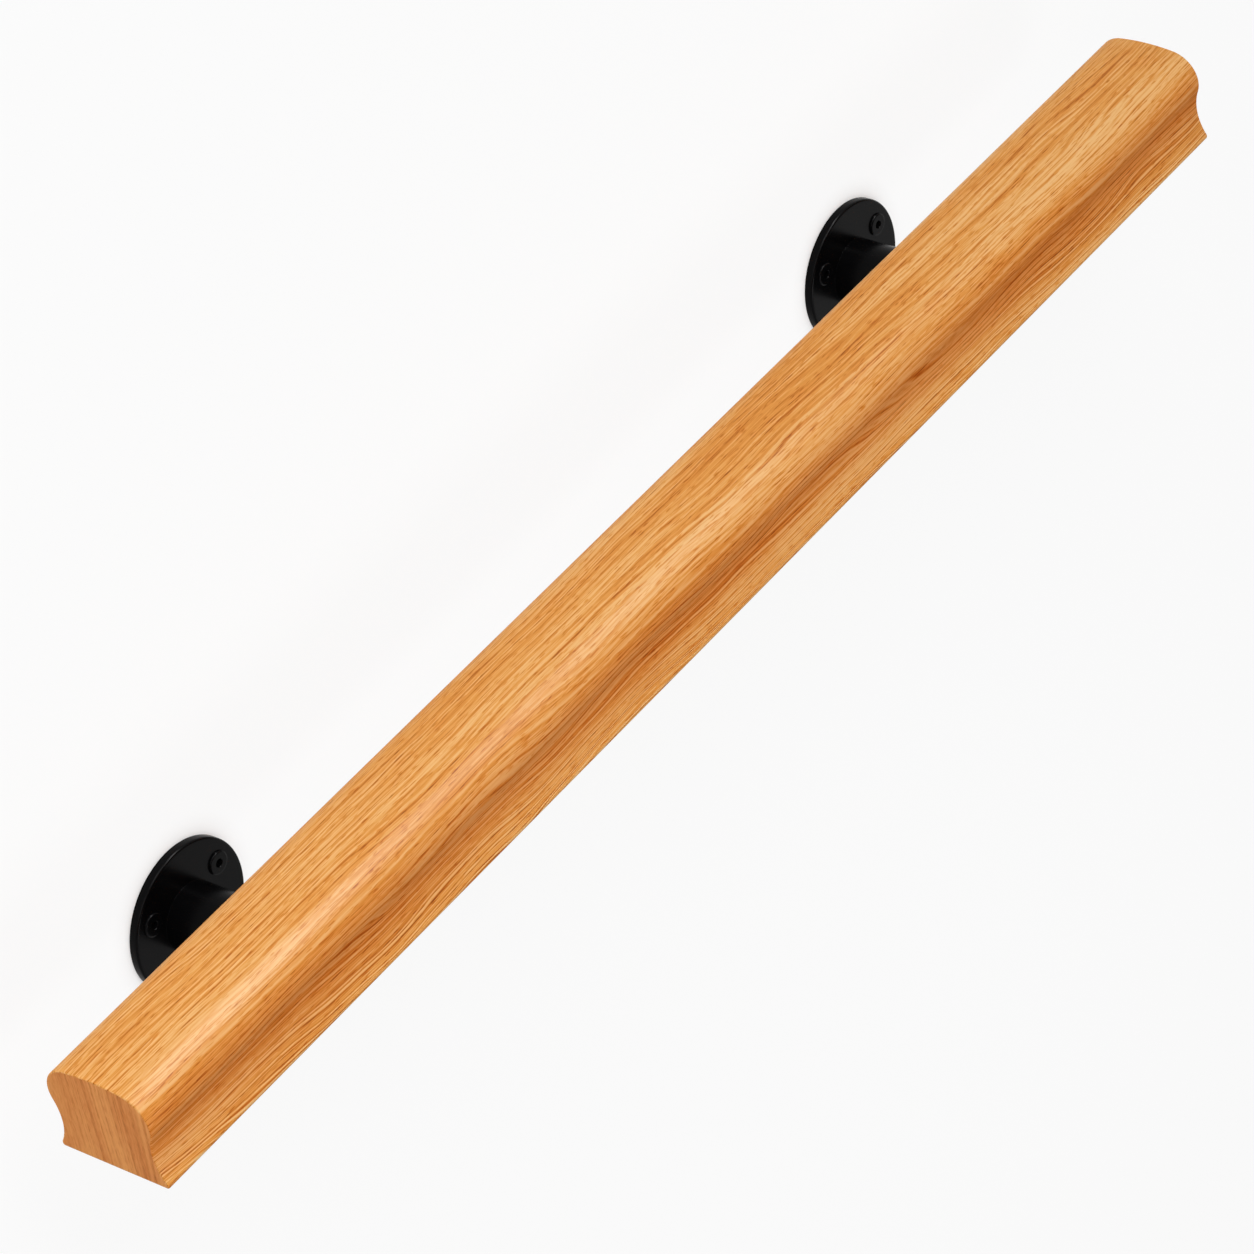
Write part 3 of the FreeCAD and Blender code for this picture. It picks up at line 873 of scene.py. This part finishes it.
@dataclass
class WallBracket:
    """One bracket: a round wall plate and a round bar, milled to a flat-seated tongue under the rail."""

    end: End
    plate_thickness: float = 5.0
    rim_round: float = 1.2
    back_round: float = 0.4
    bar_radius: float = 18.5
    root_fillet: float = 0.1
    root_lead: float = 1.3
    slope_lead: float = 8.0
    slope_start: float = 30.0
    slope_end: float = 56.0
    seat_start: float = 56.0
    step_width: float = 0.3
    axis_drop: float = 6.0
    tongue_thickness: float = 10.0
    end_bevel: float = 6.0
    bevel_softness: float = 0.5
    edge_round: float = 0.7
    softness: float = 0.3
    hole_count: int = 3
    hole_radius: float = 2.25
    hole_margin: float = 11.0
    mouth_break: float = 0.3
    mouth_past: float = 0.05
    boss_radius: float = 6.4
    boss_height: float = 1.3
    boss_round: float = 0.9
    boss_land: float = 0.5
    screw_room: float = 0.06
    neck_clear: float = 2.0
    neck_spacing: float = 2.5
    fine_lead: float = 3.0
    slope_spacing: float = 0.8
    seat_spacing: float = 1.0
    columns: int = 288
    back_points: int = 4
    rim_points: int = 9
    root_points: int = 10
    ease_points: int = 6
    boss_points: int = 8
    boss_columns: int = 72
    hole_columns: int = 48
    sink_columns: int = 64
    node: str = field(init=False)
    axis: tuple[float, float] = field(init=False)
    plate_radius: float = field(init=False)
    tongue_end: float = field(init=False)

    def __post_init__(self) -> None:
        """Takes the plate's middle and radius and the tongue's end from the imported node."""
        self.node = f"bracket_{self.end.value}"
        low, high = packed_box(self.node)
        self.axis = tuple(((low + high) / 2)[:2].tolist())
        self.plate_radius = float(high[0] - low[0]) / 2
        self.tongue_end = float(high[2])

    @property
    def boss_top(self) -> float:
        """Height of the bosses' flat tops above the wall."""
        return self.plate_thickness + self.boss_height

    def profile(self) -> np.ndarray:
        """Radius, height and inset of each ring, from the plate's back to the tongue's end.

        The rim is a quarter round, the root a quarter hollow, and the bar's end a bevel whose start is
        rounded by a smooth minimum. The inset, a quarter round too, eases the last edge.

        Returns:
            One row for each ring, shaped (rings, 3).
        """
        rim, top, fillet = self.rim_round, self.plate_thickness, self.root_fillet
        plate = np.concatenate([
            arc((self.plate_radius - self.back_round, self.back_round), self.back_round, -QUARTER, 0,
                self.back_points),
            arc((self.plate_radius - rim, top - rim), rim, 0, QUARTER, self.rim_points),
            [(self.plate_radius - 2 * rim, top), (self.bar_radius + self.root_lead * fillet, top)],
            arc((self.bar_radius + fillet, top + fillet), fillet, -QUARTER, -math.pi, self.root_points),
        ])
        ease = np.linspace(0, QUARTER, self.ease_points)
        eased = self.tongue_end - self.edge_round
        fine_start, step_start = self.slope_start - self.fine_lead, self.seat_start - self.step_width
        height = np.concatenate([
            np.arange(top + fillet + self.neck_clear, fine_start, self.neck_spacing),
            np.arange(fine_start, step_start, self.slope_spacing),
            [step_start, self.seat_start],
            np.arange(self.seat_start + self.seat_spacing, eased, self.seat_spacing),
            eased + self.edge_round * np.sin(ease),
        ])
        inset = np.zeros_like(height)
        inset[-len(ease):] = self.edge_round * (1 - np.cos(ease))
        bevel = self.tongue_end - height + self.bar_radius - self.end_bevel
        radius = smooth_min(np.full_like(height, self.bar_radius), bevel, self.bevel_softness)
        bar = np.stack([radius, height, inset], axis=-1)
        return np.concatenate([np.pad(plate, ((0, 0), (0, 1))), bar])

    def rings(self) -> np.ndarray:
        """The bar's circles, cut by the seat above and by the slope and the flat underside below.

        Each point's distance from the axis towards the rail's crown is limited by the seat, and away from it
        by the underside, through smooth minima that leave small rounded edges.

        Returns:
            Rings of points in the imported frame, shaped (rings, columns, 3).
        """
        radius, height, inset = (column[:, None] for column in self.profile().T)
        angle = np.linspace(0, FULL_TURN, self.columns, endpoint=False)
        under = self.tongue_thickness - self.axis_drop
        fall = (self.bar_radius - under) / (self.slope_end - self.slope_start)
        slope = np.maximum(under, self.bar_radius - fall * (height - self.slope_start))
        below = np.where(height > self.slope_start - self.slope_lead, slope, UNCUT) - inset
        above = np.where(height >= self.seat_start, self.axis_drop, UNCUT) - inset
        x, y = (radius - inset) * np.cos(angle), (radius - inset) * np.sin(angle)
        y = smooth_min(y, below + 0 * y, self.softness)
        y = -smooth_min(-y, above + 0 * y, self.softness)
        return np.stack([self.axis[0] + x, self.axis[1] + y, height + 0 * x], axis=-1)

    def round_the_plate(self, name: str, rings: np.ndarray) -> list[Piece]:
        """Repeats a shape made round +Z at each wall screw's place, evenly round the plate.

        Args:
            name: the shapes' name.
            rings: rings of points, shaped (rings, columns, 3).

        Returns:
            The shapes, one for each wall screw.
        """
        circle = self.plate_radius - self.hole_margin
        turns = QUARTER + FULL_TURN * np.arange(self.hole_count) / self.hole_count
        places = np.stack([self.axis[0] + circle * np.cos(turns), self.axis[1] + circle * np.sin(turns),
                           0 * turns], axis=-1)
        return [skin(name, rings + place) for place in places]

    def bosses(self) -> list[Piece]:
        """Makes the raised bosses, sunk a little into the plate: a quarter round turned about each middle.

        Returns:
            The bosses, not yet joined to the plate.
        """
        outer = self.boss_radius - self.boss_round
        profile = np.concatenate([
            [(self.boss_radius, self.plate_thickness - PAST_FACE)],
            arc((outer, self.boss_top - self.boss_round), self.boss_round, 0, QUARTER, self.boss_points),
            [(outer - self.boss_land, self.boss_top), (self.hole_radius + self.mouth_break, self.boss_top)],
        ])
        return self.round_the_plate("boss", turned(profile, self.boss_columns))

    def wall_holes(self) -> list[Piece]:
        """Makes cutters for the wall screw holes, slightly wider at the mouth to break the edge.

        Returns:
            One cutter for each hole.
        """
        mouth, brink = self.hole_radius + self.mouth_break, self.boss_top + self.mouth_past
        profile = np.array([(self.hole_radius, -PAST_FACE), (self.hole_radius, brink - self.mouth_break),
                            (mouth, brink), (mouth, self.boss_top + PAST_FACE)])
        return self.round_the_plate("wall_hole", turned(profile, self.hole_columns))

    def screw_holes(self, screws: list[RailScrew]) -> list[Piece]:
        """Makes cutters for the countersunk holes that the rail screws pass through.

        Args:
            screws: this bracket's two rail screws.

        Returns:
            One cutter for each screw.
        """
        cutters = []
        for screw in screws:
            wide, narrow = screw.head_radius + self.screw_room, screw.shank_radius + self.screw_room
            profile = np.array([(wide + PAST_FACE, -PAST_FACE), (wide, 0.0), (narrow, wide - narrow),
                                (narrow, self.tongue_thickness + PAST_FACE)])
            cutters.append(skin("screw_hole", screw.placed(turned(profile, self.sink_columns), screw.head_y)))
        return cutters

    def build(self, finish: Material, screws: list[RailScrew]) -> None:
        """Makes the bracket and bores its holes.

        Args:
            finish: the bracket's coat.
            screws: this bracket's two rail screws.
        """
        piece = skin(f"wall_bracket_{self.end.value}", self.rings())
        shape(piece, self.bosses(), Work.JOIN)
        shape(piece, self.wall_holes() + self.screw_holes(screws), Work.CUT)
        piece.data.materials.append(finish)
        dress(piece, self.node)


@dataclass(frozen=True)
class Softbox:
    """A soft studio lamp: its place, what it faces, its sides, its power in watts, and who sees it."""

    name: str
    place: Point
    target: Point
    sides: tuple[float, float]
    power: float
    gloss_only: bool = False

    def build(self) -> None:
        """Makes the lamp, turned to face its target. One for the gloss alone adds no light to the colours."""
        lamp = bpy.data.lights.new(self.name, "AREA")
        lamp.shape = "RECTANGLE"
        lamp.size, lamp.size_y = (side * MM for side in self.sides)
        lamp.energy = self.power
        holder = bpy.data.objects.new(self.name, lamp)
        holder.location = Vector(self.place) * MM
        gaze = Vector(self.target) - Vector(self.place)
        holder.rotation_euler = gaze.to_track_quat("-Z", "Y").to_euler()
        holder.visible_diffuse = not self.gloss_only
        bpy.context.scene.collection.objects.link(holder)


@dataclass
class Studio:
    """The camera at the photographed angle, a white floor that keeps the shadow, and soft light."""

    # The camera was solved from the rail's outlines in the photograph.
    eye: Point = (1679.8, -1779.2, 1645.15)
    view: Point = (-0.57040, 0.61695, -0.54224)
    up: Point = (-0.57967, -0.77007, -0.26639)
    lens: float = 163.235
    sensor: float = 36.0
    floor_side: float = 40000.0
    floor_colour: str = "#f2f2f2"
    floor_glow: float = 0.90
    shade_reach: float = 12.0
    shade_samples: int = 8
    white: str = "#ffffff"
    white_level: float = 1.0
    sky_level: float = 0.14
    lamps: tuple[Softbox, ...] = (
        Softbox("key_softbox", (700.0, -3800.0, 2050.0), (0.0, -30.0, 110.0), (1600.0, 2240.0), 96.0),
        Softbox("fill_softbox", (2200.0, -1300.0, 1100.0), (0.0, 0.0, 90.0), (1600.0, 1600.0), 18.0),
        Softbox("top_softbox", (0.0, 700.0, 2200.0), (0.0, 0.0, 0.0), (800.0, 800.0), 13.0),
        # The strip draws the long highlight on the lacquer.
        Softbox("strip_softbox", (-860.0, -2000.0, 1130.0), (400.0, -45.0, 110.0), (480.0, 2200.0), 104.0,
                gloss_only=True),
    )

    def build(self) -> None:
        """Sets the view, the camera, the lamps, the floor and the sky."""
        bpy.context.scene.view_settings.view_transform = "Standard"
        self.add_camera()
        for lamp in self.lamps:
            lamp.build()
        self.add_floor()
        self.add_sky()

    def add_camera(self) -> None:
        """Places the camera: its axes are right, up and the reverse of the view."""
        camera = bpy.data.cameras.new("camera")
        camera.sensor_fit = "HORIZONTAL"
        camera.sensor_width = self.sensor
        camera.lens = self.lens
        camera.clip_end = 2 * self.floor_side * MM
        holder = bpy.data.objects.new("camera", camera)
        view, up = Vector(self.view).normalized(), Vector(self.up).normalized()
        turn = Matrix((view.cross(up), up, -view)).transposed()
        holder.matrix_world = Matrix.Translation(Vector(self.eye) * MM) @ turn.to_4x4()
        bpy.context.scene.collection.objects.link(holder)
        bpy.context.scene.camera = holder

    def add_floor(self) -> None:
        """Makes the floor: paper white, part of it aglow for the camera so that it reads as white."""
        half = self.floor_side / 2
        corners = np.array([(-half, -half, 0), (half, -half, 0), (half, half, 0), (-half, half, 0)]) * MM
        mesh = bpy.data.meshes.new("floor")
        mesh.from_pydata(corners, [], [(0, 1, 2, 3)])
        made, tree = new_material("white_paper")
        paper = add_node(tree, "ShaderNodeBsdfDiffuse", {"Color": linear(self.floor_colour)}).outputs[0]
        glow = add_node(tree, "ShaderNodeEmission", {
            "Color": linear(self.white), "Strength": self.white_level}).outputs[0]
        # Painted shade: ambient occlusion cuts the glow in the open holes and in the crack below an edge,
        # where daylight would not reach.
        open_to_light = add_node(tree, "ShaderNodeAmbientOcclusion", {
            "Distance": self.shade_reach * MM}, samples=self.shade_samples).outputs["AO"]
        glowing = add_node(tree, "ShaderNodeMath", {0: open_to_light, 1: self.floor_glow},
                           operation="MULTIPLY").outputs[0]
        share = add_node(tree, "ShaderNodeMath", {0: self.seen_directly(tree), 1: glowing},
                         operation="MULTIPLY").outputs[0]
        surface = add_node(tree, "ShaderNodeMixShader", {0: share, 1: paper, 2: glow}).outputs[0]
        add_node(tree, "ShaderNodeOutputMaterial", {"Surface": surface})
        mesh.materials.append(made)
        floor = bpy.data.objects.new("floor", mesh)
        bpy.context.scene.collection.objects.link(floor)

    def add_sky(self) -> None:
        """Makes the even light all round, seen as white by the camera and in reflections."""
        sky = bpy.data.worlds.new("studio")
        sky.use_nodes = True
        tree = sky.node_tree
        tree.nodes.clear()
        light, seen_as = (add_node(tree, "ShaderNodeBackground", {
            "Color": linear(self.white), "Strength": level}).outputs[0]
            for level in (self.sky_level, self.white_level))
        surface = add_node(tree, "ShaderNodeMixShader", {
            0: self.seen_directly(tree), 1: light, 2: seen_as}).outputs[0]
        add_node(tree, "ShaderNodeOutputWorld", {"Surface": surface})
        bpy.context.scene.world = sky

    @staticmethod
    def seen_directly(tree: Tree) -> Socket:
        """One for camera, glossy and transmission rays, nought for the rest.

        Args:
            tree: the node tree that needs it.

        Returns:
            The socket.
        """
        path = add_node(tree, "ShaderNodeLightPath")
        total = path.outputs["Is Camera Ray"]
        for name in ("Is Glossy Ray", "Is Transmission Ray"):
            total = add_node(tree, "ShaderNodeMath", {0: total, 1: path.outputs[name]},
                             operation="MAXIMUM").outputs[0]
        return total


def main() -> None:
    """Builds the rail, the brackets, their screws and the studio."""
    logging.basicConfig(level=logging.INFO, format="%(message)s")
    rail = Handrail()
    face_figure = OakFigure(rail.middle, rail.height / 2)
    end_figure = OakFigure(rail.middle, rail.height / 2, bend=0.0, waviness=0.4, upright=6.0,
                           side_contrast=0.0)
    # Sprayed as powder and baked: a deep even black whose soft highlights are broken by a faint orange peel.
    coat = BlackFinish("satin_black_powder_coat", "#070708", roughness=0.24, specular=0.045,
                       peel_size=0.9, peel_depth=0.008).material()
    # Dipped and oiled: a duller, greyer black with a fine tooth.
    steel = BlackFinish("black_phosphated_steel", "#17171a", roughness=0.46, specular=0.3,
                        peel_size=0.4, peel_depth=0.006).material()
    screws = {end: [RailScrew(end, place) for place in Place] for end in End}
    rail.build(LacqueredOak(face_figure).material(), SawnOak(end_figure).material(),
               [screw for pair in screws.values() for screw in pair])
    for end in End:
        WallBracket(end).build(coat, screws[end])
        for screw in screws[end]:
            screw.build(steel)
    Studio().build()


if __name__ == "__main__":
    main()
